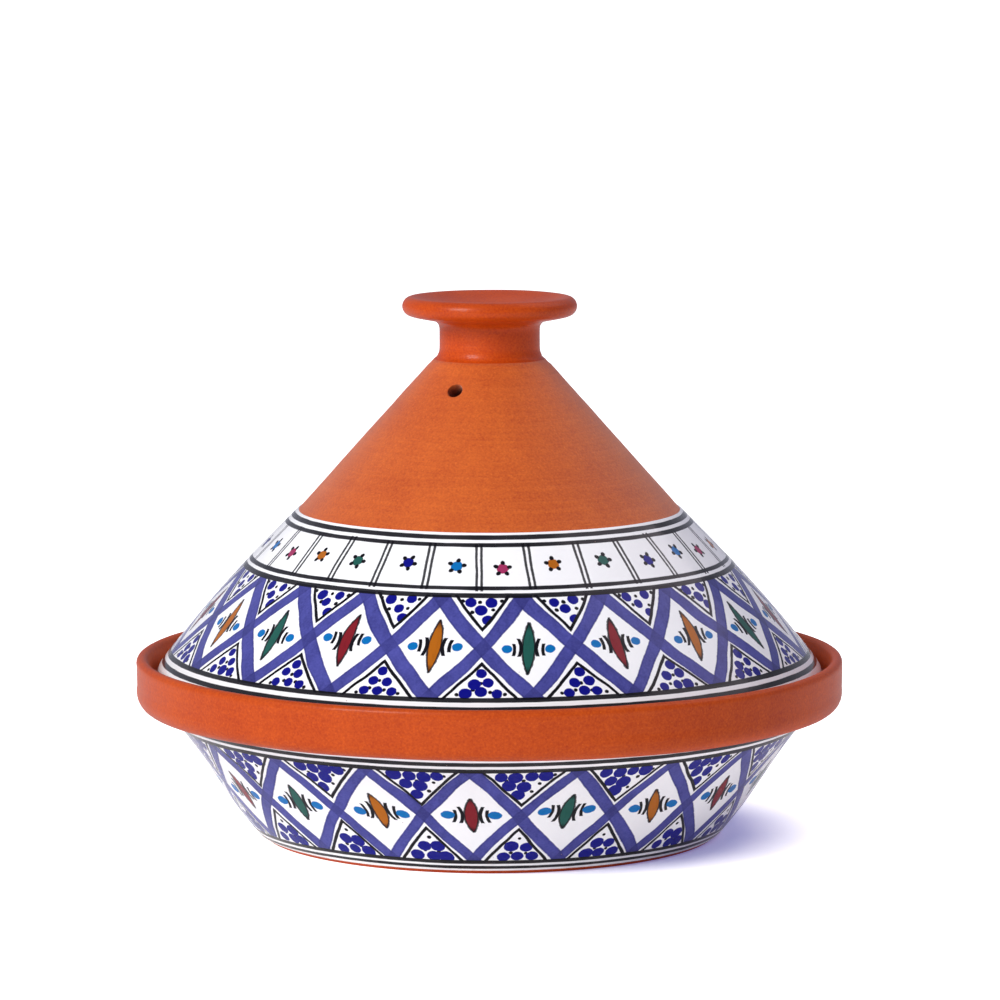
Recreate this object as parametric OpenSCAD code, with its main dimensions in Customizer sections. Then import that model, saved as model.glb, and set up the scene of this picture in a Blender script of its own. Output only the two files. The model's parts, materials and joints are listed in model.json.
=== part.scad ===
// Tagine pot: a glazed earthenware dish with a raised gallery collar, and a conical
// lid with a turned knob that lifts straight off. Origin on the floor, on the axis.

/* [Dish] */
// Outer radius of the flat foot
foot_r = 102; // [94:1:110]
// Height of the dish wall, from the floor to the underside of the collar
dish_h = 57.5; // [48:0.5:70]
// How far the wall swells out low down and draws in higher up
dish_sway = 0.9; // [0:0.1:2.5]
// Thickness of the dish wall
wall_t = 9; // [6:0.5:12]
// Thickness of the dish floor
floor_t = 9; // [6:0.5:12]
// Rounding between the floor and the wall, inside
floor_round = 14; // [8:1:24]
// Rounding of the lower edges of the foot and of the lid
foot_round = 0.8; // [0.5:0.1:1]
// Chamfer between the bowl and the ledge that the lid stands on
ledge_chamfer = 1.5; // [0.5:0.1:3]

/* [Collar] */
// Outer radius of the collar
collar_r = 157.5; // [132:0.5:190]
// How far the collar stands out past the dish wall under it
collar_overhang = 13.6; // [10:0.2:18]
// Height of the collar
collar_h = 22.5; // [18:0.5:30]
// Thickness of the collar wall at its lip
collar_t = 5; // [4:0.2:8]
// How much thicker the collar wall is at the ledge than at its lip
collar_taper = 1.2; // [0:0.1:2]
// Rounding of the collar's lower outer corner
collar_round = 6; // [3:0.5:8]
// Depth of the ledge below the collar's lip
ledge_depth = 11; // [8:0.5:14]

/* [Lid] */
// Clearance all round between the lid's hem and the collar
lid_gap = 3.1; // [2:0.1:5]
// Clearance between the lid's seat and the ledge
seat_gap = 0.3; // [0.2:0.1:0.6]
// Width of the flat ring that the lid stands on
seat_w = 9; // [6:0.5:13]
// Height of the upright hem above the seat
hem_h = 5.5; // [4:0.5:8]
// Height of the lid, from its seat to the foot of the knob
lid_h = 143; // [110:1:180]
// Height of the bare cone, from the white glaze up to the foot of the knob
bare_h = 66.8; // [55:0.2:80]
// How far the painted part swells out
lid_swell = 2.3; // [0:0.1:4]
// Thickness of the lid's wall
lid_t = 8; // [6:0.5:10]
// Solid clay left under the knob
crown_t = 9; // [6:1:14]

/* [Knob] */
// Radius of the neck
neck_r = 22.2; // [18:0.2:26]
// How far the neck flares out to meet the cone
neck_flare = 2.5; // [1:0.1:3.5]
// Radius of the curve of that flare
flare_round = 5; // [4:0.5:9]
// Height of the neck, from the knob's foot to the curve under its rim
neck_h = 13.6; // [10:0.2:18]
// Radius of the curve under the rim
neck_top_round = 3.5; // [2:0.5:5]
// Outer radius of the knob's rim
knob_r = 38.9; // [35:0.1:47]
// Rounding of the knob's rim
knob_round = 4.4; // [3.5:0.1:6]
// Slope of the underside of the knob's rim
knob_slope = 11; // [0:1:25]
// Depth of the hollow in the top of the knob
cup_depth = 6; // [4:0.5:8]

/* [Steam vent] */
// Radius of the vent
vent_r = 3.5; // [2:0.1:4.5]
// Turn of the vent round the lid, from the front towards the left
vent_turn = 26; // [0:1:90]
// Distance of the vent's mouth below the foot of the knob
vent_drop = 11; // [9:1:30]

/* [Glaze] */
// Thickness of the fired glaze
glaze_t = 0.5; // [0.4:0.1:0.8]
// Bare clay left above the floor, so that the pot does not stick to the kiln shelf
bare_foot_h = 1.2; // [1:0.1:5]

/* [Hidden] */
$fn = 180;
curve_steps = 12;   // straight pieces in a long curve
round_steps = 6;    // straight pieces in a small rounding

// Heights
lip_z = dish_h + collar_h;
ledge_z = lip_z - ledge_depth;
seat_z = ledge_z + seat_gap;
hem_z = seat_z + hem_h;
knob_z = seat_z + lid_h;
glaze_edge_z = knob_z - bare_h;

// Radii at the collar, from the outside in
lip_in_r = collar_r - collar_t;
ledge_out_r = lip_in_r - collar_taper;
dish_top_r = collar_r - collar_overhang;
lip_round = collar_t / 2;

// Lid radii, which follow the collar
hem_glaze_r = ledge_out_r - lid_gap;
neck_foot_r = neck_r + neck_flare;

// Lean of the walls, which turns a thickness into a horizontal width
dish_lean = atan((dish_top_r - foot_r) / dish_h);
dish_wall_w = wall_t / cos(dish_lean);
dish_glaze_w = glaze_t / cos(dish_lean);
lid_lean = atan((hem_glaze_r - neck_foot_r) / (knob_z - hem_z));
lid_glaze_w = glaze_t / cos(lid_lean);
lid_wall_w = lid_t / cos(lid_lean);
hem_r = hem_glaze_r - lid_glaze_w;
seat_in_r = hem_r - seat_w;

function mix(a, b, t) = a + (b - a) * t;

// Points on an arc about [x, y], in the plane of the outline
function arc(x, y, r, from, to, steps = round_steps) =
    [for (i = [0 : steps]) [x + r * cos(mix(from, to, i / steps)),
                            y + r * sin(mix(from, to, i / steps))]];

// Outer radius of the clay of the dish wall at height z
function dish_wall_r(z) =
    mix(foot_r, dish_top_r, z / dish_h) + dish_sway * sin(360 * z / dish_h);

// Outer radius of the clay of the lid at height z: a cone whose painted part swells out
function lid_r(z) =
    mix(hem_r, neck_foot_r, (z - hem_z) / (knob_z - hem_z))
    + (z < glaze_edge_z ? lid_swell * sin(180 * (z - hem_z) / (glaze_edge_z - hem_z)) : 0);

// Points up a wall between two heights, moved out by a width
function dish_wall(z0, z1, out = 0) =
    [for (i = [0 : curve_steps]) let (z = mix(z0, z1, i / curve_steps)) [dish_wall_r(z) + out, z]];
function lid_wall(z0, z1, out = 0) =
    [for (i = [0 : curve_steps]) let (z = mix(z0, z1, i / curve_steps)) [lid_r(z) + out, z]];

// The inner wall of the dish leans back from the floor to the inner edge of the ledge
ledge_in_r = seat_in_r + seat_gap;
floor_in_r = dish_wall_r(floor_t) - dish_wall_w;
inner_lean = atan((ledge_in_r - floor_in_r) / (ledge_z - floor_t));
bowl_top_z = ledge_z - ledge_chamfer;
bowl_top_r = ledge_in_r - ledge_chamfer * tan(inner_lean);

// The rounding touches the floor and the leaning wall
corner_r = floor_in_r - floor_round * tan((90 - inner_lean) / 2);
corner_z = floor_t + floor_round;
bowl_outline = concat(
    arc(corner_r, corner_z, floor_round, 270, 360 - inner_lean),
    [[bowl_top_r, bowl_top_z]]
);

module dish_body() {
    color("peru")
    rotate_extrude()
    polygon(concat(
        [[0, 0]],
        arc(foot_r - foot_round, foot_round, foot_round, 270, 360),
        dish_wall(bare_foot_h, dish_h),
        arc(collar_r - collar_round, dish_h + collar_round, collar_round, 270, 360),
        arc(collar_r - lip_round, lip_z - lip_round, lip_round, 0, 180, 2 * round_steps),
        [[ledge_out_r, ledge_z], [ledge_in_r + ledge_chamfer, ledge_z]],
        [for (i = [len(bowl_outline) - 1 : -1 : 0]) bowl_outline[i]],
        [[0, floor_t]]
    ));
}

module dish_painted_glaze() {
    color("white")
    rotate_extrude()
    polygon(concat(
        dish_wall(bare_foot_h, dish_h),
        [for (i = [curve_steps : -1 : 0])
            let (z = mix(bare_foot_h, dish_h, i / curve_steps)) [dish_wall_r(z) + dish_glaze_w, z]]
    ));
}

module dish_lining_glaze() {
    color("sienna")
    rotate_extrude()
    polygon(concat(
        [[0, floor_t]],
        bowl_outline,
        [[bowl_top_r - glaze_t / cos(inner_lean), bowl_top_z]],
        arc(corner_r, corner_z, floor_round - glaze_t, 360 - inner_lean, 270),
        [[0, floor_t + glaze_t]]
    ));
}

// The hollow of the lid ends in a dome that its straight wall runs into
hollow_top_z = knob_z - crown_t;
dome_r = cos(lid_lean) * (lid_r(hollow_top_z) - lid_wall_w) / (1 - sin(lid_lean));
dome_z = hollow_top_z - dome_r;

module lid_cone() {
    color("peru")
    difference() {
        rotate_extrude()
        polygon(concat(
            [[seat_in_r, seat_z], [hem_r - foot_round, seat_z]],
            arc(hem_r - foot_round, seat_z + foot_round, foot_round, 270, 360),
            lid_wall(hem_z, glaze_edge_z),
            [[neck_foot_r, knob_z], [0, knob_z]],
            arc(0, dome_z, dome_r, 90, lid_lean, curve_steps),
            [for (i = [curve_steps : -1 : 1])
                let (z = mix(seat_z, glaze_edge_z, i / curve_steps)) [lid_r(max(z, hem_z)) - lid_wall_w, z]]
        ));
        steam_vent();
    }
}

module steam_vent() {
    mouth_z = knob_z - vent_drop;
    rotate([0, 0, -90 - vent_turn])
    translate([lid_r(mouth_z), 0, mouth_z])
    rotate([0, 90 - lid_lean, 0])
    cylinder(r = vent_r, h = 4 * lid_t, center = true);
}

module lid_painted_glaze() {
    color("white")
    rotate_extrude()
    polygon(concat(
        [[hem_r, seat_z + foot_round]],
        lid_wall(hem_z, glaze_edge_z),
        [for (i = [curve_steps : -1 : 0])
            let (z = mix(hem_z, glaze_edge_z, i / curve_steps)) [lid_r(z) + lid_glaze_w, z]],
        [[hem_glaze_r, seat_z + foot_round]]
    ));
}

// The flare is an arc that ends upright against the neck
flare_h = sqrt(2 * flare_round * neck_flare - pow(neck_flare, 2));

// The underside of the rim slopes up from the curve under it to the rim's rounding
neck_top_x = neck_r + neck_top_round;
rim_r = knob_r - knob_round;
underside_rise = (rim_r - neck_top_x + (knob_round + neck_top_round) * sin(knob_slope)) * tan(knob_slope);
rim_z = knob_z + neck_h + underside_rise + (neck_top_round + knob_round) * cos(knob_slope);

module lid_knob() {
    top_z = rim_z + knob_round;
    color("chocolate")
    rotate_extrude()
    polygon(concat(
        [[0, knob_z]],
        arc(neck_r + flare_round, knob_z + flare_h, flare_round, 180 + asin(flare_h / flare_round), 180),
        arc(neck_top_x, knob_z + neck_h, neck_top_round, 180, 90 + knob_slope),
        arc(rim_r, rim_z, knob_round, knob_slope - 90, 90, 2 * round_steps),
        [for (i = [curve_steps - 1 : -1 : 0])
            let (t = i / curve_steps) [rim_r * t, top_z - cup_depth * (1 - t * t)]]
    ));
}

dish_body();
dish_painted_glaze();
dish_lining_glaze();
lid_cone();
lid_painted_glaze();
lid_knob();
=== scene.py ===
"""A tagine pot: a glazed dish with a raised collar, and a painted conical lid with a turned knob.

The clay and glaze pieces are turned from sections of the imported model. The painting is worked
out on the surface in millimetres, as a potter's brush would lay it: rings, ruled cells with
small stars, and a lattice of broad strokes with leaves and dotted corners.
"""
import json
import math

import bpy
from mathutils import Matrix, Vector

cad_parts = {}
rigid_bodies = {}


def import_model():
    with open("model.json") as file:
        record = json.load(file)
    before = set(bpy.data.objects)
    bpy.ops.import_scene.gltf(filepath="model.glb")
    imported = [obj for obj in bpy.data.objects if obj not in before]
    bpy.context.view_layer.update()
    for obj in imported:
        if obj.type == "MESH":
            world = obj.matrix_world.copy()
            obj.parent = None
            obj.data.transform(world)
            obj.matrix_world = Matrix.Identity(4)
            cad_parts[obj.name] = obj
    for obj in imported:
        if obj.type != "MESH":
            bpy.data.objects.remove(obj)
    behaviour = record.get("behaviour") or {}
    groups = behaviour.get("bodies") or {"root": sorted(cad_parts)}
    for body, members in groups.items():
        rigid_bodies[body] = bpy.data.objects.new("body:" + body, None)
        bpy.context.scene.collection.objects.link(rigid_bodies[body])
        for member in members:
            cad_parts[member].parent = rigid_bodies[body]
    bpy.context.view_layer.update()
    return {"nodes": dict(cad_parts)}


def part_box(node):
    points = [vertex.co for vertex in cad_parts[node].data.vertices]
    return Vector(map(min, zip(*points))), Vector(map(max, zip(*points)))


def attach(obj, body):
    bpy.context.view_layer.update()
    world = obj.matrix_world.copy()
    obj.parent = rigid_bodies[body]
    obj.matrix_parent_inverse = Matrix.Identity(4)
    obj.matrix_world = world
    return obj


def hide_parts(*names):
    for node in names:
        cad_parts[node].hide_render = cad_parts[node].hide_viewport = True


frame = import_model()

MM = 0.001
TURNS = 240                     # faces round each turned piece
OUTLINE_STEP = 2.0 * MM         # the longest edge left in a section
WELD = 0.02 * MM                # vertices nearer than this are made one
SEAM_MARGIN = 1.5 * MM          # clay this near the foot of the knob keeps its place
LID_LEAN = math.radians(42)     # of the lid's wall from upright
DISH_LEAN = math.radians(36)
SEAT_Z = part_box("lid_cone")[0][2]    # where the lid stands on the ledge
SEAM_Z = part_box("lid_knob")[0][2]    # where the knob stands on the cone


# ---------------------------------------------------------------- modelling

def only(piece):
    """Selects one object and makes it active, in object mode."""
    bpy.ops.object.select_all(action="DESELECT")
    piece.select_set(True)
    bpy.context.view_layer.objects.active = piece
    return piece


def select_where(piece, kind, test):
    """In edit mode, selects the vertices, edges or faces that pass a test, and counts them."""
    mesh = piece.data
    bpy.ops.mesh.select_all(action="DESELECT")
    bpy.ops.mesh.select_mode(type=kind)
    bpy.ops.object.mode_set(mode="OBJECT")
    parts = {"VERT": mesh.vertices, "EDGE": mesh.edges, "FACE": mesh.polygons}[kind]
    found = 0
    for part in parts:
        part.select = bool(test(part))
        found += part.select
    bpy.ops.object.mode_set(mode="EDIT")
    return found


def edge_length(piece, edge):
    a, b = (piece.data.vertices[i].co for i in edge.vertices)
    return (a - b).length


def section(node, name):
    """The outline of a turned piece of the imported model, from its axis outwards, as a chain."""
    only(frame["nodes"][node])
    bpy.ops.object.duplicate()
    piece = bpy.context.view_layer.objects.active
    bpy.ops.object.parent_clear(type="CLEAR_KEEP_TRANSFORM")
    for key in list(piece.keys()):
        del piece[key]
    piece.name = piece.data.name = name
    piece.data.materials.clear()
    bpy.ops.object.mode_set(mode="EDIT")
    bpy.ops.mesh.select_all(action="SELECT")
    bpy.ops.mesh.remove_doubles(threshold=0.01 * MM)
    bpy.ops.mesh.bisect(plane_co=(0, 0, 0), plane_no=(0, 1, 0), clear_inner=True, clear_outer=True)
    bpy.ops.mesh.select_all(action="SELECT")
    bpy.ops.mesh.bisect(plane_co=(0, 0, 0), plane_no=(1, 0, 0), clear_inner=True)
    bpy.ops.mesh.select_all(action="SELECT")
    bpy.ops.mesh.remove_doubles(threshold=WELD)
    while select_where(piece, "EDGE", lambda edge: edge_length(piece, edge) > OUTLINE_STEP):
        bpy.ops.mesh.subdivide(number_cuts=1)
    select_where(piece, "EDGE", lambda edge: on_axis(piece, edge))
    bpy.ops.mesh.delete(type="EDGE")
    bpy.ops.object.mode_set(mode="OBJECT")
    return piece


def on_axis(piece, edge):
    return all(abs(piece.data.vertices[i].co.x) < 0.05 * MM for i in edge.vertices)


def off_seam(vertex):
    """True away from the joint of knob and cone, where the two have to stay flush."""
    return abs(vertex.co.z - SEAM_Z) > SEAM_MARGIN


def soften(piece, times):
    """Rounds the outline's corners a little, as a wet sponge does; its ends, foot and seam stay."""
    edge = 0.1 * MM
    bpy.ops.object.mode_set(mode="EDIT")
    select_where(piece, "VERT", lambda vertex: vertex.co.x > edge and vertex.co.z > edge
                 and off_seam(vertex))
    bpy.ops.mesh.vertices_smooth(factor=0.5, repeat=times, yaxis=False)
    bpy.ops.object.mode_set(mode="OBJECT")


def groove(piece, height, radius, depth):
    """Presses a shallow groove into the outline at a height, outside a radius."""
    near = 0.5 * MM
    bpy.ops.object.mode_set(mode="EDIT")
    select_where(piece, "VERT", lambda vertex: abs(vertex.co.z - height) < near
                 and vertex.co.x > radius)
    bpy.ops.transform.translate(value=(-depth, 0, 0))
    bpy.ops.object.mode_set(mode="OBJECT")


def spin(piece):
    """Turns the outline about the pot's axis into a closed form."""
    only(piece)
    bpy.ops.object.modifier_add(type="SCREW")
    turn = piece.modifiers[-1]
    turn.steps = turn.render_steps = TURNS
    turn.use_merge_vertices = True
    turn.merge_threshold = WELD
    bpy.ops.object.modifier_apply(modifier=turn.name)
    bpy.ops.object.mode_set(mode="EDIT")
    bpy.ops.mesh.select_all(action="SELECT")
    bpy.ops.mesh.remove_doubles(threshold=WELD)
    bpy.ops.mesh.normals_make_consistent(inside=False)
    bpy.ops.object.mode_set(mode="OBJECT")


def mark_free(piece):
    """Groups the vertices that may move: not the foot, the seam, or where the lid sits in the dish."""
    foot_top, seat_low, seat_high = 2 * MM, SEAT_Z - 3 * MM, SEAT_Z + 7 * MM
    bpy.ops.object.mode_set(mode="EDIT")
    select_where(piece, "VERT", lambda vertex: vertex.co.z > foot_top and off_seam(vertex)
                 and not seat_low < vertex.co.z < seat_high)
    piece.vertex_groups.new(name="free")
    bpy.ops.object.vertex_group_assign()
    bpy.ops.object.mode_set(mode="OBJECT")


def by_hand(piece, depth, size, stretch, seed):
    """Gives a turned form the small unevenness of thrown clay; stretch draws it out sideways."""
    cloud = bpy.data.textures.new("thrown", "CLOUDS")
    cloud.noise_scale = 1.0
    cloud.noise_depth = 2
    bpy.ops.object.empty_add(location=(seed, 2 * seed, 3 * seed))
    guide = bpy.context.object
    guide.scale = (size * stretch, size * stretch, size)
    bpy.context.view_layer.update()
    only(piece)
    bpy.ops.object.modifier_add(type="DISPLACE")
    bump = piece.modifiers[-1]
    bump.texture = cloud
    bump.texture_coords = "OBJECT"
    bump.texture_coords_object = guide
    bump.strength = depth
    bump.mid_level = 0.42
    bump.vertex_group = "free"
    bpy.ops.object.modifier_apply(modifier=bump.name)
    bpy.data.objects.remove(guide)
    bpy.data.textures.remove(cloud)


def finish(piece, body, node, material):
    only(piece)
    bpy.ops.object.shade_smooth_by_angle(angle=math.radians(50))
    piece.data.materials.append(material)
    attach(piece, body)
    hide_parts(node)


def turned(outline):
    """A closed piece turned from its outline, with the clay's slight unevenness."""
    soften(outline, 2)
    spin(outline)
    mark_free(outline)
    by_hand(outline, 1.0 * MM, 0.10, 1.0, 0.3)
    return outline


# ---------------------------------------------------------------- shader maths

class Value:
    """A number that varies over a surface; Python's operators on it add Math nodes."""

    def __init__(self, paint, socket):
        self.paint = paint
        self.socket = socket

    def __add__(self, other): return self.paint.math("ADD", self, other)
    def __sub__(self, other): return self.paint.math("SUBTRACT", self, other)
    def __mul__(self, other): return self.paint.math("MULTIPLY", self, other)
    def __truediv__(self, other): return self.paint.math("DIVIDE", self, other)
    def __rsub__(self, other): return self.paint.math("SUBTRACT", other, self)
    def __neg__(self): return self.paint.math("MULTIPLY", self, -1.0)
    def __abs__(self): return self.paint.math("ABSOLUTE", self)
    __radd__ = __add__
    __rmul__ = __mul__

    def over(self, other): return self.paint.math("MAXIMUM", self, other)
    def under(self, other): return self.paint.math("MINIMUM", self, other)
    def floor(self): return self.paint.math("FLOOR", self)
    def part(self): return self.paint.math("FRACT", self)
    def wrap(self, top, bottom=0.0): return self.paint.math("WRAP", self, top, bottom)


class Paint:
    """A material and its nodes: node() adds any node, and the rest are short names for some."""

    def __init__(self, name):
        self.material = bpy.data.materials.new(name)
        self.material.use_nodes = True
        self.tree = self.material.node_tree
        self.tree.nodes.clear()
        place = self.node("ShaderNodeTexCoord").outputs["Object"]
        scaled = self.node("ShaderNodeVectorMath", {"operation": "SCALE"}, {0: place, "Scale": 1 / MM})
        self.place = scaled.outputs[0]
        split = self.node("ShaderNodeSeparateXYZ", {}, {0: self.place}).outputs
        self.x, self.y, self.z = (Value(self, split[i]) for i in range(3))
        self.radius = self.math("SQRT", self.x * self.x + self.y * self.y)
        self.turn = self.math("ARCTAN2", self.x, -self.y)   # 0 at the front, growing to the right

    def node(self, kind, settings=None, inputs=None):
        """Adds a node: its settings first, then the values or links of its sockets."""
        made = self.tree.nodes.new(kind)
        for name, setting in (settings or {}).items():
            if name == "stops":
                ramp = made.color_ramp
                while len(ramp.elements) < len(setting):
                    ramp.elements.new(1.0)
                for element, (position, colour) in zip(ramp.elements, setting):
                    element.position, element.color = position, colour
            else:
                setattr(made, name, setting)
        for key, value in (inputs or {}).items():
            value = value.socket if isinstance(value, Value) else value
            if isinstance(value, bpy.types.NodeSocket):
                self.tree.links.new(value, made.inputs[key])
            else:
                made.inputs[key].default_value = value
        return made

    def math(self, operation, *values):
        made = self.node("ShaderNodeMath", {"operation": operation}, dict(enumerate(values)))
        return Value(self, made.outputs[0])

    def vector(self, operation, *values):
        made = self.node("ShaderNodeVectorMath", {"operation": operation}, dict(enumerate(values)))
        return Value(self, made.outputs["Value"]) if operation == "LENGTH" else made.outputs[0]

    def point(self, x, y, z=0.0):
        return self.node("ShaderNodeCombineXYZ", {}, {0: x, 1: y, 2: z}).outputs[0]

    def step(self, value, start, end):
        """0 at start, 1 at end, smooth between them."""
        made = self.node("ShaderNodeMapRange", {"interpolation_type": "SMOOTHSTEP"},
                         {"Value": value, "From Min": start, "From Max": end})
        return Value(self, made.outputs["Result"])

    def inside(self, distance, soft=0.16):
        """1 where a distance in millimetres is below nothing, with a soft brush edge."""
        return self.step(distance, soft, -soft)

    def noise(self, size, seed=0.0, detail=2.0, place=None):
        """A random value from about -1 to 1 whose patches are about size millimetres across."""
        made = self.node("ShaderNodeTexNoise", {"noise_dimensions": "4D"},
                         {"Vector": place or self.place, "W": seed, "Scale": 1 / size, "Detail": detail})
        return (Value(self, made.outputs["Fac"]) - 0.5) * 2.0

    def chance(self, number, seed):
        """A random vector from 0 to 1 for each whole number."""
        return self.node("ShaderNodeTexWhiteNoise", {"noise_dimensions": "1D"},
                         {"W": number + seed * 7.31}).outputs["Color"]

    def parts(self, vector):
        split = self.node("ShaderNodeSeparateXYZ", {}, {0: vector}).outputs
        return tuple(Value(self, socket) for socket in split)

    def mix(self, below, above, amount, blend="MIX"):
        made = self.node("ShaderNodeMix", {"data_type": "RGBA", "blend_type": blend},
                         {"Factor": amount, 6: below, 7: above})
        return made.outputs[2]

    def finish(self, shader, bump=None, depth=0.1):
        """Ends the material in a Principled shader; bump is a height, depth its millimetres."""
        if bump is not None:
            shader["Normal"] = self.node("ShaderNodeBump", {}, {
                "Height": bump, "Distance": depth * MM, "Strength": 1.0}).outputs[0]
        made = self.node("ShaderNodeBsdfPrincipled", {}, shader)
        output = self.node("ShaderNodeOutputMaterial")
        self.tree.links.new(made.outputs[0], output.inputs["Surface"])
        return self.material


def shade(red, green, blue):
    """A colour given from 0 to 255, as the linear light that shaders use."""
    def linear(level):
        level /= 255
        return level / 12.92 if level <= 0.04045 else ((level + 0.055) / 1.055) ** 2.4
    return (linear(red), linear(green), linear(blue), 1.0)


# ---------------------------------------------------------------- clay

def turning_marks(paint, size, seed):
    """Fine marks that run round the pot, as a rib leaves them."""
    stretched = paint.point(paint.x * 0.02, paint.y * 0.02, paint.z)
    return paint.noise(size, seed, 3.0, stretched)


def red_clay(name, base, roughness, gloss, marks, seed, dust=0.0):
    """Red earthenware: mottled, with turning marks, painted upright sheen streaks, fine grog, a thin
    clear coat and some dry dust.
    """
    paint = Paint(name)
    patches = paint.noise(38.0, seed, 2.0)
    # Tall streaks painted lighter and darker into the colour: a painted sheen, not a change in the clay;
    # they also raise a small bump
    sheen_streaks = paint.noise(16.0, seed + 2, 2.0, paint.point(paint.x, paint.y, paint.z * 0.12))
    ribs = turning_marks(paint, 1.1, seed)
    bands = turning_marks(paint, 6.0, seed + 5)
    grain = paint.noise(0.9, seed + 1, 2.0)
    grog = paint.node("ShaderNodeTexVoronoi", {}, {"Vector": paint.place, "Scale": 0.42})
    speck = paint.step(Value(paint, grog.outputs["Distance"]), 0.17, 0.08)
    tone = (0.5 + patches * 0.18 + sheen_streaks * 0.26 + ribs * marks * 0.2 + bands * marks * 0.14
            + grain * 0.6)
    red, green, blue = base
    dark = shade(red * 0.84, green * 0.68, blue * 0.6)
    light = shade(red * 1.08, green * 1.22, blue * 1.3)
    colour = paint.mix(dark, light, tone.over(0.0).under(1.0))
    pale = shade(min(255, red * 1.1), green * 1.4, blue * 1.8)
    colour = paint.mix(colour, pale, speck * 0.35)
    height = ribs * marks * 0.45 + bands * marks * 0.35 + grain * 0.2 + sheen_streaks * 0.1
    return paint.finish({
        "Base Color": colour,
        "Roughness": roughness + grain * 0.05 + patches * 0.06,
        "Coat Weight": gloss,
        "Coat Roughness": 0.14,
        "Specular IOR Level": 0.14,
        "Sheen Weight": dust,
        "Sheen Roughness": 0.5,
        "Sheen Tint": (1.0, 0.82, 0.74, 1.0),
    }, height, 0.16)


# ---------------------------------------------------------------- brushwork

WHITE = shade(250, 250, 251)
BLACK = shade(12, 11, 18)
COBALT_THIN = shade(72, 74, 162)
COBALT = shade(38, 40, 119)
COBALT_DEEP = shade(24, 24, 84)
BLUE_DOT = shade(6, 8, 128)
SKY = shade(4, 108, 178)
OCHRE = shade(176, 98, 14)
GREEN = shade(30, 88, 78)
BRICK = shade(128, 26, 36)
ROSE = shade(160, 46, 92)


class Band:
    """A painted band, unrolled: places are millimetres along the surface, a little unsteady."""

    def __init__(self, paint, low, high, lean, seed):
        self.paint, self.seed = paint, seed
        self.height = (high - low) / math.cos(lean)
        sway = paint.noise(46.0, seed, 1.0) * 1.3 + paint.noise(14.0, seed + 1, 1.0) * 0.45
        lift = paint.noise(60.0, seed + 2, 1.0) * 0.8 + paint.noise(14.0, seed + 3, 1.0) * 0.3
        self.sway_angle = sway / paint.radius
        self.rough = paint.noise(1.6, seed + 4, 1.0)
        self.middle = (paint.z - low) / math.cos(lean) + lift - self.height / 2


class Row:
    """Equal shares of a band round the pot: each one's number, and millimetres across it."""

    def __init__(self, band, count, first):
        paint, pitch = band.paint, 2 * math.pi / count
        self.width = paint.radius * pitch
        self.around = (paint.turn - math.radians(first) + band.sway_angle) / pitch
        self.number = (self.around + 0.5).floor().wrap(count / 2, -count / 2)
        self.across = ((self.around + 0.5).part() - 0.5) * self.width


def rings(paint, colour, heights, lean, seed):
    """Black lines drawn on the turning pot. heights are (height, thickness) in millimetres."""
    wander = paint.noise(70.0, seed, 1.0) * 0.5 + paint.noise(9.0, seed + 1, 1.0) * 0.12
    press = paint.noise(22.0, seed + 2, 2.0)
    along = paint.z / math.cos(lean) + wander
    line = None
    for height, thickness in heights:
        here = abs(along - height / math.cos(lean)) - thickness / 2
        line = here if line is None else line.under(here)
    return paint.mix(colour, BLACK, paint.inside(line - press * 0.25) * (0.985 + press * 0.02))


def pick(paint, number, colours):
    """The colour for a cell's number, in turn."""
    turn = number.wrap(len(colours))
    chosen = colours[0]
    for place, colour in enumerate(colours[1:], 1):
        chosen = paint.mix(chosen, colour, paint.inside(abs(turn - place) - 0.5, 0.01))
    return chosen


def cells(paint, colour, low, high, lean, count, first, seed):
    """Ruled cells between double lines, each with a small dotted star."""
    band = Band(paint, low, high, lean, seed)
    ruled = Row(band, count, first - 180 / count)
    tilt, nudge, reach_by = paint.parts(paint.chance(ruled.number, seed + 9))
    slant = ruled.across + (nudge - 0.5) * 1.6 + band.middle * (tilt - 0.5) * 0.12
    pair = abs(abs(slant) - 1.1) - 0.6 - band.rough * 0.14
    length = abs(band.middle + (reach_by - 0.3) * 1.4) - band.height / 2 - 0.8
    colour = paint.mix(colour, BLACK, paint.inside(pair.over(length)) * 0.95)

    row = Row(band, count, first)
    spot = paint.vector("MULTIPLY_ADD", paint.chance(row.number, seed),
                        (3.4, 3.0, 6.28), (-1.7, -1.7, 0.0))
    spot_x, spot_y, spin_by = paint.parts(spot)
    x, y = row.across - spot_x, band.middle - spot_y
    reach = paint.math("SQRT", x * x + y * y)
    angle = (paint.math("ARCTAN2", y, x) + spin_by) * (5 / (2 * math.pi))
    ray = (angle.part() - 0.5) * (2 * math.pi / 5)
    core = reach - 2.55 - band.rough * 0.5
    heart = pick(paint, row.number, [ROSE, OCHRE, GREEN, BLUE_DOT, SKY])
    colour = paint.mix(colour, heart, paint.inside(core))
    petal = paint.vector("LENGTH", paint.point(ray * reach, (reach - 3.1) / 1.1))
    return paint.mix(colour, BLACK, paint.inside((petal - 1.0) * 0.8 + band.rough * 0.16))


def dots(paint, number, x, y, spots, radius, stray, seed, rough):
    """A mask of dabs near the given places, each with its own place and size in every cell."""
    here = paint.point(x, y)
    nearest = None
    for k, (at_x, at_y) in enumerate(spots):
        chance = paint.chance(number, seed + k)
        spot = paint.vector("MULTIPLY_ADD", chance, (2 * stray, 2 * stray, 0.0),
                            (at_x - stray, at_y - stray, 0.0))
        size = (paint.parts(chance)[2] - 0.5) * 0.5
        gap = paint.vector("LENGTH", paint.vector("SUBTRACT", here, spot))
        away = gap - radius * (1.0 + size * 0.5)
        nearest = away if nearest is None else nearest.under(away)
    return paint.inside(nearest - rough * 0.28)


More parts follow.
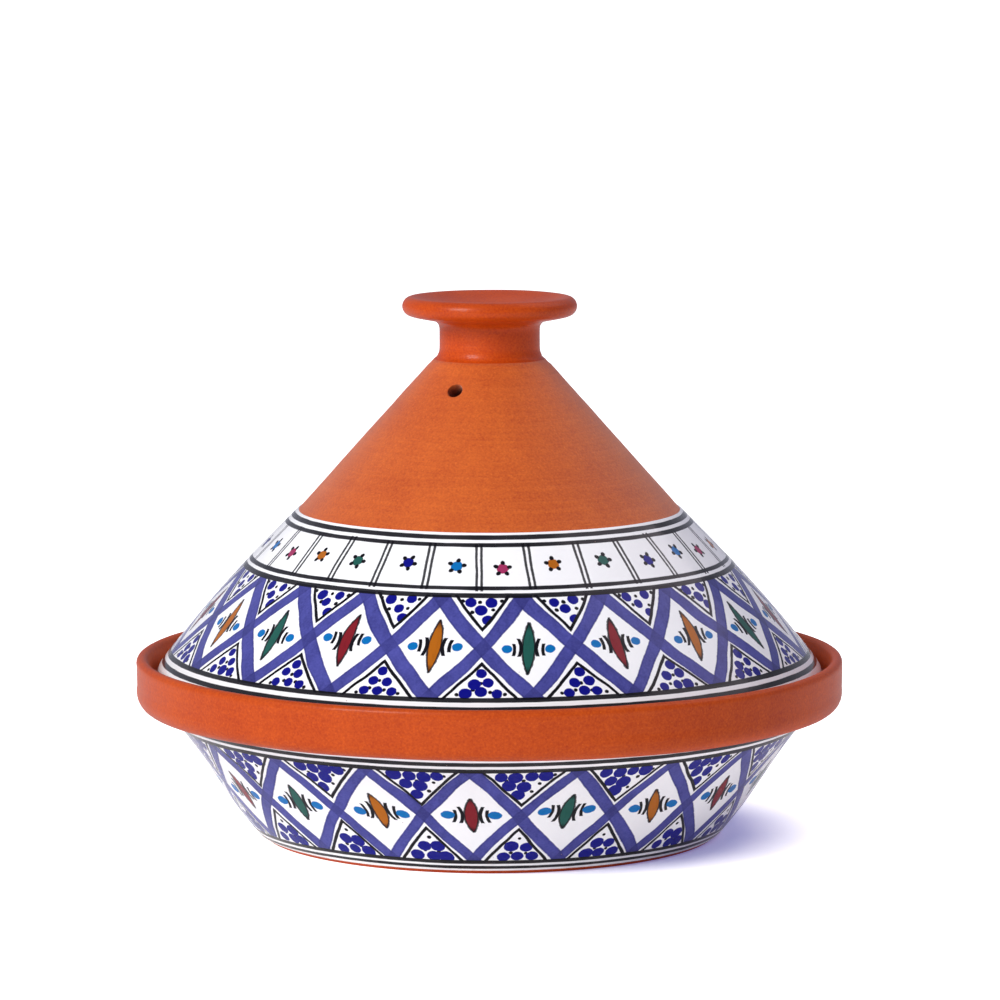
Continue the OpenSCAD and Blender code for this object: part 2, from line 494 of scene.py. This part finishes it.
def corner_dots(paint, colour, band, corner, look):
    """The dabs in the framed corners above and below the row of diamonds."""
    depth = band.height / 2 - abs(band.middle)
    upper = paint.inside(-band.middle, 0.01)
    for here, spots in ((upper, look["upper"]), (1.0 - upper, look["lower"])):
        seed = band.seed + 20 + len(spots["blue"])
        place = (paint, corner.number, corner.across, depth)
        blue = dots(*place, spots["blue"], look["dab"], 0.55, seed, band.rough)
        black = dots(*place, spots["black"], 0.9, 0.6, seed + 30, band.rough)
        colour = paint.mix(colour, BLACK, black * here)
        colour = paint.mix(colour, BLUE_DOT, blue * here)
    return colour


def lattice(paint, ground, low, high, lean, count, first, seed, look):
    """Two families of broad cobalt strokes that cross in diamonds, with framed dots between them.

    The ground is what the band between its low and high rings is laid over.
    """
    band = Band(paint, low, high, lean, seed)
    row = Row(band, count, first)
    slope = row.width / band.height
    # Turns a share of a cell into a distance square to a stroke
    square = row.width / paint.math("SQRT", 1.0 + slope * slope)
    level = band.middle * look["fit"] / band.height
    offs = []
    pen = paint.noise(19.0, seed + 40, 1.0) * 0.45
    for side, width in zip((1, -1), look["stroke"]):
        bow = paint.noise(26.0, seed + 12 + 11 * side, 1.0) * 0.065
        off = abs((row.around + level * side + bow).part() - 0.5) * square
        offs.append(off - width / 2 - pen)
    strokes = [paint.inside(off - band.rough * 0.2, 0.26) for off in offs]

    # Framed corners, a little clear of the strokes
    corner = Row(band, count, first + 180 / count)
    loose = paint.noise(11.0, seed + 7, 1.0) * 0.7
    edge = (abs(level) - abs(corner.across) / corner.width) * square - look["gap"] + loose
    framed = corner_dots(paint, WHITE, band, corner, look)
    colour = paint.mix(WHITE, framed, paint.inside(-edge, 0.1))
    outline = abs(edge - band.rough * 0.12) - look["outline"] / 2
    colour = paint.mix(colour, BLACK, paint.inside(outline))

    # Cobalt, thin in places, darker at its edges and deep where two strokes cross
    pulled = paint.point(row.around * 22.0, paint.z * 0.3, band.middle * 0.15)
    streak = paint.noise(1.5, seed + 5, 2.0, pulled)
    pool = paint.noise(13.0, seed + 6, 2.0)
    rim = paint.step(offs[0].under(offs[1]), -1.3, -0.1)
    grit = paint.noise(0.9, seed + 8, 1.0)
    tone = (0.45 + streak * 0.4 + pool * 0.5 + rim * 0.45 + grit * 0.4).over(0.0).under(1.0)
    cobalt = paint.mix(COBALT_THIN, COBALT, tone)
    colour = paint.mix(colour, cobalt, strokes[0].over(strokes[1]) * 0.98)
    colour = paint.mix(colour, COBALT_DEEP, strokes[0] * strokes[1] * (0.34 + pool * 0.2))
    colour = leaves(paint, colour, band, row, look)
    within = paint.inside(paint.z - high, 0.01) * paint.inside(low - paint.z, 0.01)
    return paint.mix(ground, colour, within)


def leaves(paint, colour, band, row, look):
    """A leaf in each diamond, with two curved strokes and a sky-blue dab on each side."""
    lean_by, lift_by, bend_by = paint.parts(paint.chance(row.number, band.seed + 60))
    y = band.middle - look["leaf_y"] - (lift_by - 0.5) * 2.2
    x = row.across - (bend_by - 0.5) * 1.8 + y * (lean_by - 0.5) * look["leaf_tilt"]
    bent = x + y * y * (bend_by - 0.5) * 0.02
    along = y / look["leaf_long"]
    body = abs(bent) - (1.0 - along * along) * look["leaf_wide"] - band.rough * 0.15
    leaf = paint.inside(body.over(abs(y) - look["leaf_long"]))
    hue = pick(paint, row.number, look["leaves"])
    tips = paint.step(abs(y), look["leaf_long"] * 0.6, look["leaf_long"] * 0.9)
    grain = paint.noise(1.4, band.seed + 61, 1.0, paint.point(x, y * 0.25, row.number))
    hue = paint.mix(hue, BLACK, (tips * 0.75 + grain * 0.25).over(0.0))
    colour = paint.mix(colour, hue, leaf)
    rim = (abs(body) - 0.45 - band.rough * 0.35).over(abs(y) - look["leaf_long"] + 0.2)
    colour = paint.mix(colour, BLACK, paint.inside(rim) * 0.92)

    # Short hooked strokes, each with its own lean
    side = abs(x)
    sway = (lift_by - 0.5) * 1.8
    lean = y * (bend_by - 0.5) * 0.25
    flank = look["flank"]
    inner = (abs(side + lean - flank[0] - y * y * 0.05) - 0.82).over(abs(y + sway) - flank[2])
    outer = (abs(side - lean - flank[1] - y * y * 0.05) - 0.76).over(abs(y - sway) - flank[3])
    colour = paint.mix(colour, BLACK, paint.inside(inner.under(outer) + band.rough * 0.22))
    dab_x = (side - look["sky_x"]) / look["sky_wide"]
    dab = paint.vector("LENGTH", paint.point(dab_x, y + (bend_by - 0.5) * 2.0))
    return paint.mix(colour, SKY, paint.inside(dab - look["sky"] - band.rough * 0.3))


# Places in millimetres: dots from the middle of a framed corner and from its ring, the rest
# from the middle of a diamond
LID_LATTICE = {
    "stroke": (7.0, 6.2), "fit": 1.04, "gap": 5.3, "outline": 1.5, "dab": 2.5,
    "upper": {"blue": [(-5.0, 3.6), (4.4, 3.4), (-0.4, 7.8), (2.6, 12.4)],
              "black": [(-0.4, 3.4), (8.2, 2.6), (-4.0, 8.2), (4.2, 8.0), (-8.8, 2.6)]},
    "lower": {"blue": [(-6.2, 3.4), (0.2, 3.6), (6.4, 3.4), (-3.2, 8.4), (3.2, 8.6), (0.4, 13.4)],
              "black": [(-3.2, 4.6), (3.4, 4.4), (9.6, 2.4), (-9.4, 2.4), (0.1, 8.2)]},
    "leaves": [GREEN, BRICK, OCHRE],
    "leaf_y": 0.0, "leaf_long": 13.6, "leaf_wide": 2.7, "leaf_tilt": 0.3,
    "flank": (3.3, 6.1, 4.6, 3.1), "sky_x": 9.4, "sky": 2.1, "sky_wide": 1.1,
}
DISH_LATTICE = {
    "stroke": (5.9, 5.4), "fit": 1.04, "gap": 4.4, "outline": 1.5, "dab": 3.1,
    "upper": {"blue": [(-9.4, 3.4), (-3.2, 3.6), (3.2, 3.4), (9.4, 3.4),
                       (-5.6, 9.0), (0.8, 9.2), (-1.8, 14.6)],
              "black": [(-0.1, 6.2), (6.6, 7.2), (-6.6, 6.0), (3.8, 12.6), (12.6, 2.8)]},
    "lower": {"blue": [(-5.8, 3.6), (0.6, 3.8), (7.0, 3.4), (-2.2, 9.6), (3.8, 9.2)],
              "black": [(-2.4, 6.4), (0.4, 14.6), (3.8, 5.8), (9.8, 6.0)]},
    "leaves": [BRICK, GREEN, OCHRE],
    "leaf_y": 1.5, "leaf_long": 10.6, "leaf_wide": 2.9, "leaf_tilt": 0.5,
    "flank": (3.7, 6.6, 5.0, 3.8), "sky_x": 10.0, "sky": 2.4, "sky_wide": 1.25,
}


def white_glaze(paint, colour, shine):
    """The glossy white glaze that carries the painting: a little uneven, with a few pinholes."""
    swell = paint.noise(9.0, 71.0, 2.0)
    fine = paint.noise(1.2, 72.0, 2.0)
    pits = paint.node("ShaderNodeTexVoronoi", {}, {"Vector": paint.place, "Scale": 0.11})
    hole = paint.step(Value(paint, pits.outputs["Distance"]), 0.035, 0.015)
    colour = paint.mix(colour, shade(150, 120, 104), hole * 0.7)
    return paint.finish({
        "Base Color": colour,
        "Roughness": 0.15 + fine * 0.04 + hole * 0.3,
        "Specular IOR Level": shine,
    }, swell * 0.5 + fine * 0.12 - hole, 0.12)


def painted_lid_glaze():
    """Ruled cells above a lattice, between three pairs of rings; heights are millimetres up."""
    paint = Paint("painted_lid_glaze")
    cells_low, cells_high = 124.2, 140.8
    low, high = 82.0, 121.5
    lines = [(143.5, 2.4), (140.6, 2.1), (cells_low, 2.0), (121.4, 2.5), (low, 2.5), (78.5, 2.5)]
    colour = cells(paint, WHITE, cells_low, cells_high, LID_LEAN, 28, 4, 3.0)
    colour = lattice(paint, colour, low, high, LID_LEAN, 20, 7.4, 5.0, LID_LATTICE)
    colour = rings(paint, colour, lines, LID_LEAN, 8.0)
    return white_glaze(paint, colour, 0.25)


def painted_dish_glaze():
    """One lattice between two pairs of rings; heights are millimetres up."""
    paint = Paint("painted_dish_glaze")
    low, high = 6.2, 51.2
    lines = [(54.4, 2.4), (high, 2.4), (low, 2.2), (3.5, 1.8)]
    colour = lattice(paint, WHITE, low, high, DISH_LEAN, 19, -3.5, 15.0, DISH_LATTICE)
    colour = rings(paint, colour, lines, DISH_LEAN, 18.0)
    return white_glaze(paint, colour, 0.14)


def clear_lining_glaze():
    """Clear honey glaze on the cooking surface, pooled darker towards the floor."""
    paint = Paint("clear_lining_glaze")
    pool = paint.step(paint.z, 34.0, 9.0)
    mottle = paint.noise(12.0, 31.0, 3.0)
    ribs = turning_marks(paint, 2.6, 32.0)
    depth = (pool * 0.6 + 0.25 + mottle * 0.2 + ribs * 0.15).over(0.0)
    honey = paint.mix(shade(176, 78, 36), shade(96, 38, 20), depth)
    return paint.finish({
        "Base Color": honey, "Roughness": 0.14 + mottle * 0.04, "Specular IOR Level": 0.5,
        "Coat Weight": 0.4, "Coat Roughness": 0.08,
    }, ribs * 0.5 + mottle * 0.2, 0.2)


# ---------------------------------------------------------------- the pieces

def vent_cutter():
    """A tapered drill for the steam vent, square to the cone's wall and wider at its mouth."""
    radius, flare, reach = 3.5 * MM, 4.6 * MM, 14 * MM
    mouth_r, mouth_z = 34.8 * MM, 201.3 * MM
    turn = math.radians(26)     # from the front towards the left
    x, y = -math.sin(turn), -math.cos(turn)
    outward = Vector((x * math.cos(LID_LEAN), y * math.cos(LID_LEAN), math.sin(LID_LEAN)))
    mouth = Vector((x * mouth_r, y * mouth_r, mouth_z))
    bpy.ops.object.select_all(action="DESELECT")
    bpy.ops.mesh.primitive_cylinder_add(vertices=40, radius=radius, depth=2 * reach)
    drill = bpy.context.object
    bpy.ops.object.mode_set(mode="EDIT")
    select_where(drill, "FACE", lambda face: face.normal.z > 0.9)
    bpy.ops.transform.translate(value=(0, 0, 0.5 * MM - reach))
    bpy.ops.mesh.extrude_region_move(TRANSFORM_OT_translate={"value": (0, 0, 1.2 * MM)})
    bpy.ops.transform.resize(value=(flare / radius, flare / radius, 1))
    bpy.ops.mesh.extrude_region_move(TRANSFORM_OT_translate={"value": (0, 0, 4 * MM)})
    bpy.ops.transform.resize(value=(2.0, 2.0, 1))
    bpy.ops.object.mode_set(mode="OBJECT")
    drill.rotation_mode = "QUATERNION"
    drill.rotation_quaternion = outward.to_track_quat("Z", "Y")
    drill.location = mouth - outward * 1.0 * MM
    bpy.context.view_layer.update()
    return drill


def make_lid_cone():
    cone = turned(section("lid_cone", "lid_cone_clay"))
    by_hand(cone, 0.22 * MM, 0.006, 12.0, 0.7)
    drill = vent_cutter()
    only(cone)
    bpy.ops.object.modifier_add(type="BOOLEAN")
    cut = cone.modifiers[-1]
    cut.operation, cut.solver, cut.object = "DIFFERENCE", "EXACT", drill
    bpy.ops.object.modifier_apply(modifier=cut.name)
    bpy.data.objects.remove(drill)
    finish(cone, "lid", "lid_cone",
           red_clay("bare_cone_clay", (202, 88, 27), 0.6, 0.02, 1.0, 41.0, 0.32))


def make_lid_glaze():
    glaze = turned(section("lid_painted_glaze", "lid_white_glaze"))
    finish(glaze, "lid", "lid_painted_glaze", painted_lid_glaze())


def make_knob():
    knob = turned(section("lid_knob", "knob_clay"))
    finish(knob, "lid", "lid_knob",
           red_clay("glossy_knob_clay", (193, 68, 12), 0.45, 0.12, 0.5, 45.0))


def make_dish():
    outline = section("dish_body", "dish_clay")
    groove(outline, 67 * MM, 155 * MM, 0.2 * MM)    # low on the outside of the collar
    dish = turned(outline)
    finish(dish, "dish", "dish_body",
           red_clay("satin_collar_clay", (192, 71, 15), 0.5, 0.1, 0.5, 49.0))


def make_dish_glaze():
    glaze = turned(section("dish_painted_glaze", "dish_white_glaze"))
    finish(glaze, "dish", "dish_painted_glaze", painted_dish_glaze())


def make_bowl_lining():
    lining = turned(section("dish_lining_glaze", "bowl_clear_glaze"))
    finish(lining, "dish", "dish_lining_glaze", clear_lining_glaze())


# ---------------------------------------------------------------- floor, light and camera

def make_floor():
    """A white, glowing floor: a painted lavender shadow by the right of the foot, where the shade falls,
    and white glow beyond.
    """
    bpy.ops.object.select_all(action="DESELECT")
    bpy.ops.mesh.primitive_plane_add(size=60)
    floor = bpy.context.object
    floor.name = "floor"
    paint = Paint("white_floor")
    painted_shade_lavender, white, none = (0.12, 0.13, 0.32, 1.0), (1.0, 1.0, 1.0, 1.0), (0.0, 0.0, 0.0, 1.0)
    # The floor's glow paints its shadow: lavender near the foot on the right, white further out
    away = paint.step(paint.radius - paint.x * 0.25, 80.0, 126.0)
    glow = paint.mix(painted_shade_lavender, white, away)
    seen = paint.node("ShaderNodeLightPath").outputs["Is Camera Ray"]
    glow = paint.mix(paint.mix(none, glow, 0.28), glow, seen)    # weaker as light on the pot
    floor.data.materials.append(paint.finish({
        "Base Color": (0.92, 0.92, 0.92, 1.0), "Roughness": 0.9, "Specular IOR Level": 0.1,
        "Emission Color": glow, "Emission Strength": 1.0,
    }))


def area_light(name, place, size, power, colour):
    """A square lamp that faces the middle of the pot."""
    middle = Vector((0, 0, 0.1))
    bpy.ops.object.light_add(type="AREA", location=place)
    light = bpy.context.object
    light.name = name
    light.data.shape = "RECTANGLE"
    light.data.size = light.data.size_y = size
    light.data.energy = power
    light.data.color = colour
    light.rotation_euler = (middle - Vector(place)).to_track_quat("-Z", "Y").to_euler()


def make_light():
    """Pale surroundings, brighter behind the pot than in front, a soft box and a weak fill."""
    world = bpy.data.worlds.new("studio")
    bpy.context.scene.world = world
    world.use_nodes = True
    tree = world.node_tree
    tree.nodes.clear()

    def add(kind, **inputs):
        node = tree.nodes.new(kind)
        for key, value in inputs.items():
            socket = node.inputs[key.replace("_", " ")]
            if isinstance(value, bpy.types.NodeSocket):
                tree.links.new(value, socket)
            else:
                socket.default_value = value
        return node

    direction = add("ShaderNodeTexCoord").outputs["Generated"]
    depth = add("ShaderNodeSeparateXYZ", Vector=direction).outputs["Y"]
    behind = add("ShaderNodeMapRange", Value=depth, From_Min=-0.9, From_Max=0.9, To_Min=0.22, To_Max=0.5)
    room = add("ShaderNodeBackground", Color=(0.80, 0.82, 1.0, 1.0), Strength=behind.outputs[0])
    backdrop = add("ShaderNodeBackground", Color=(1.0, 1.0, 1.0, 1.0), Strength=1.0)
    seen = add("ShaderNodeLightPath").outputs["Is Camera Ray"]
    both = add("ShaderNodeMixShader", Fac=seen)
    tree.links.new(room.outputs[0], both.inputs[1])
    tree.links.new(backdrop.outputs[0], both.inputs[2])
    tree.links.new(both.outputs[0], add("ShaderNodeOutputWorld").inputs["Surface"])

    area_light("left_soft_box", (-1.7, -1.9, 1.7), 1.2, 76, (1.0, 0.99, 0.97))
    area_light("right_fill", (1.3, 0.5, 1.8), 1.6, 9, (1.0, 0.86, 0.92))


def make_camera():
    data = bpy.data.cameras.new("camera")
    camera = bpy.data.objects.new("camera", data)
    bpy.context.scene.collection.objects.link(camera)
    bpy.context.scene.camera = camera
    look_down, turn = 7.04, -0.122      # degrees
    data.sensor_width, data.lens = 36, 178
    camera.location = (0, -2.187, 0.419)
    camera.rotation_euler = (math.radians(90 - look_down), 0, math.radians(turn))
    bpy.context.scene.view_settings.view_transform = "Standard"


make_camera()
make_light()
make_floor()
make_dish()
make_dish_glaze()
make_bowl_lining()
make_lid_cone()
make_lid_glaze()
make_knob()
